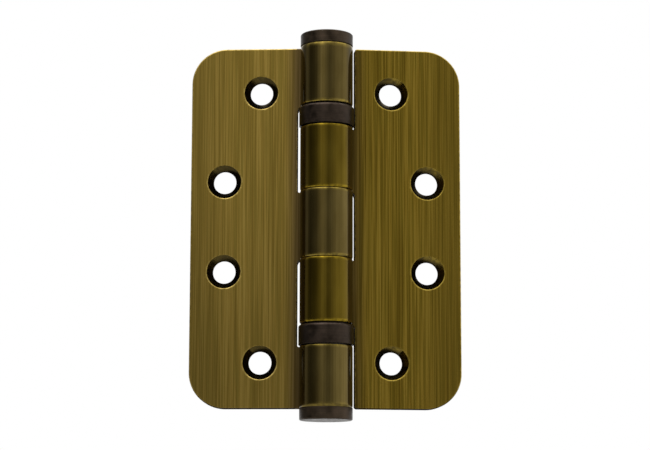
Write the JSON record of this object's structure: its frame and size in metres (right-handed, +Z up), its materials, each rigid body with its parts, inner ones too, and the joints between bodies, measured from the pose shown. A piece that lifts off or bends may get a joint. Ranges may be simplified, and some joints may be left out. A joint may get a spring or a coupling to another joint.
{
  "type": "ball bearing hinge",
  "caption": "Radius-corner door hinge: brushed antique-brass leaves with countersunk holes, interleaved knuckles on a pin, and dark ball bearings and end caps along the barrel.",
  "frame": {"origin": "on the pin's axis at half the leaf's height", "axes": "+Z up the pin, +X towards the two-knuckle leaf, +Y towards the backs of the leaves; the countersunk faces look to -Y"},
  "size_m": [0.0756, 0.015, 0.1084],
  "materials": {
    "brushed_antique_brass": "steel sheet, brushed along its height and plated to an antique brass, polished on the barrel",
    "dark_bronze": "dark brown bronzed steel, satin",
    "bearing_steel": "ground bearing steel, greased"
  },
  "bodies": {
    "fixed_leaf": {"three_knuckle_leaf": "brushed_antique_brass", "hinge_pin": "bearing_steel", "top_cap": "dark_bronze", "bottom_cap": "dark_bronze", "upper_bearing_shell": "dark_bronze", "lower_bearing_race": "bearing_steel"},
    "swing_leaf": {"two_knuckle_leaf": "brushed_antique_brass", "lower_bearing_shell": "dark_bronze", "upper_bearing_race": "bearing_steel"},
    "upper_balls": {"upper_ball_1": "bearing_steel", "upper_ball_10": "bearing_steel", "upper_ball_11": "bearing_steel", "upper_ball_12": "bearing_steel", "upper_ball_2": "bearing_steel", "upper_ball_3": "bearing_steel", "upper_ball_4": "bearing_steel", "upper_ball_5": "bearing_steel", "upper_ball_6": "bearing_steel", "upper_ball_7": "bearing_steel", "upper_ball_8": "bearing_steel", "upper_ball_9": "bearing_steel"},
    "lower_balls": {"lower_ball_1": "bearing_steel", "lower_ball_10": "bearing_steel", "lower_ball_11": "bearing_steel", "lower_ball_12": "bearing_steel", "lower_ball_2": "bearing_steel", "lower_ball_3": "bearing_steel", "lower_ball_4": "bearing_steel", "lower_ball_5": "bearing_steel", "lower_ball_6": "bearing_steel", "lower_ball_7": "bearing_steel", "lower_ball_8": "bearing_steel", "lower_ball_9": "bearing_steel"}
  },
  "joints": [
    {"name": "leaf_swing", "type": "hinge", "parent": "fixed_leaf", "child": "swing_leaf", "pos_m": [0, 0, 0], "axis": [0, 0, 1], "range_deg": [-190, 105]},
    {"name": "upper_ball_roll", "type": "hinge", "parent": "fixed_leaf", "child": "upper_balls", "pos_m": [0, 0, 0.03068], "axis": [0, 0, 1], "range_deg": [-95, 52.5]},
    {"name": "lower_ball_roll", "type": "hinge", "parent": "fixed_leaf", "child": "lower_balls", "pos_m": [0, 0, -0.03068], "axis": [0, 0, 1], "range_deg": [-95, 52.5]}
  ],
  "couplings": [
    {"joint": "upper_ball_roll", "follows": "leaf_swing", "ratio": 0.5},
    {"joint": "lower_ball_roll", "follows": "leaf_swing", "ratio": 0.5}
  ]
}
